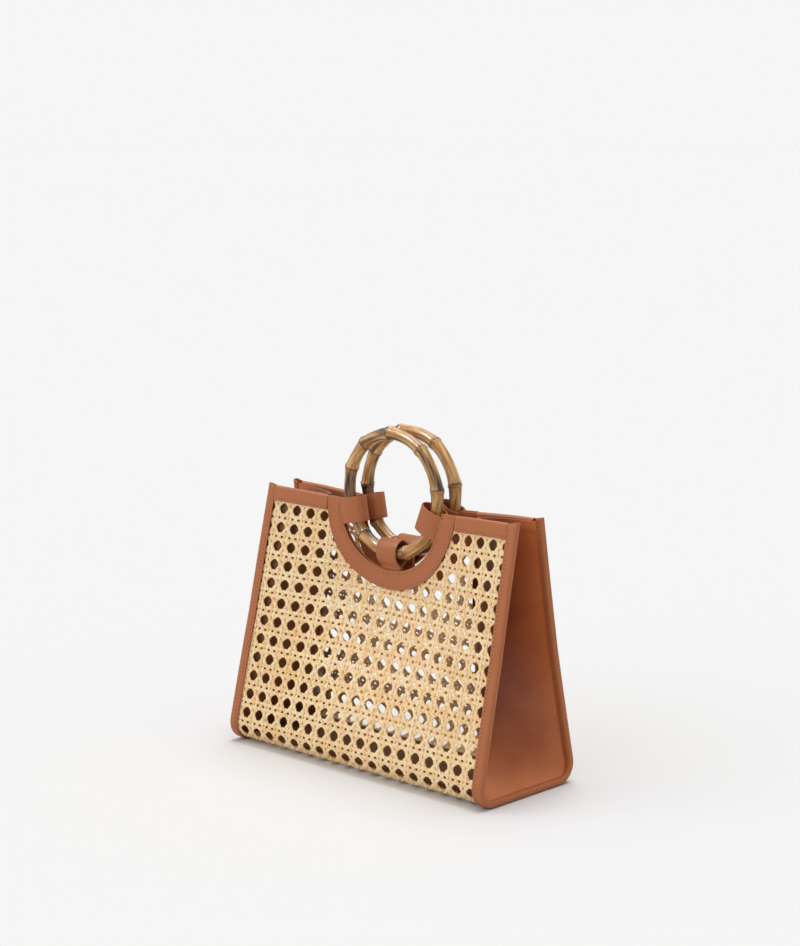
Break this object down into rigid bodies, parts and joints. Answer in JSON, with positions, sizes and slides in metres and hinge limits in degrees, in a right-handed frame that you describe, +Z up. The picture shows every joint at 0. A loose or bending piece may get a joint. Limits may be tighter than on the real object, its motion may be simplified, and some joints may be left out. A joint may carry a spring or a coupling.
{
  "type": "basket box bag",
  "caption": "Handbag of woven cane folded round the base, with folding leather gussets, bound seams and bamboo ring handles held in leather loops.",
  "frame": {"origin": "middle of the bag on the surface it stands on", "axes": "+X along the width, to the right seen from the front; +Y from front to back; +Z up"},
  "size_m": [0.274, 0.1004, 0.2616],
  "materials": {
    "cane": "natural, satin",
    "leather": "smooth, semi-matt",
    "bamboo": "lacquered, with scorched streaks",
    "lining": "matt"
  },
  "bodies": {
    "bag": {"cane_body": "cane", "gusset_left": "leather", "gusset_right": "leather", "edge_binding_left": "leather", "edge_binding_right": "leather", "top_binding_front_left": "leather", "top_binding_front_right": "leather", "top_binding_back_left": "leather", "top_binding_back_right": "leather", "collar_front": "leather", "collar_back": "leather", "collar_facing_front": "leather", "collar_facing_back": "leather", "loop_front_left": "leather", "loop_front_right": "leather", "loop_front_bottom": "leather", "loop_back_left": "leather", "loop_back_right": "leather", "loop_back_bottom": "leather", "base_board": "lining"},
    "front_ring": {"ring_handle_front": "bamboo"},
    "back_ring": {"ring_handle_back": "bamboo"}
  },
  "joints": [
    {"name": "front_ring_turn", "type": "hinge", "parent": "bag", "child": "front_ring", "pos_m": [0, -0.01, 0.21], "axis": [0, -1, 0], "continuous": true},
    {"name": "back_ring_turn", "type": "hinge", "parent": "bag", "child": "back_ring", "pos_m": [0, 0.01, 0.21], "axis": [0, 1, 0], "continuous": true}
  ]
}
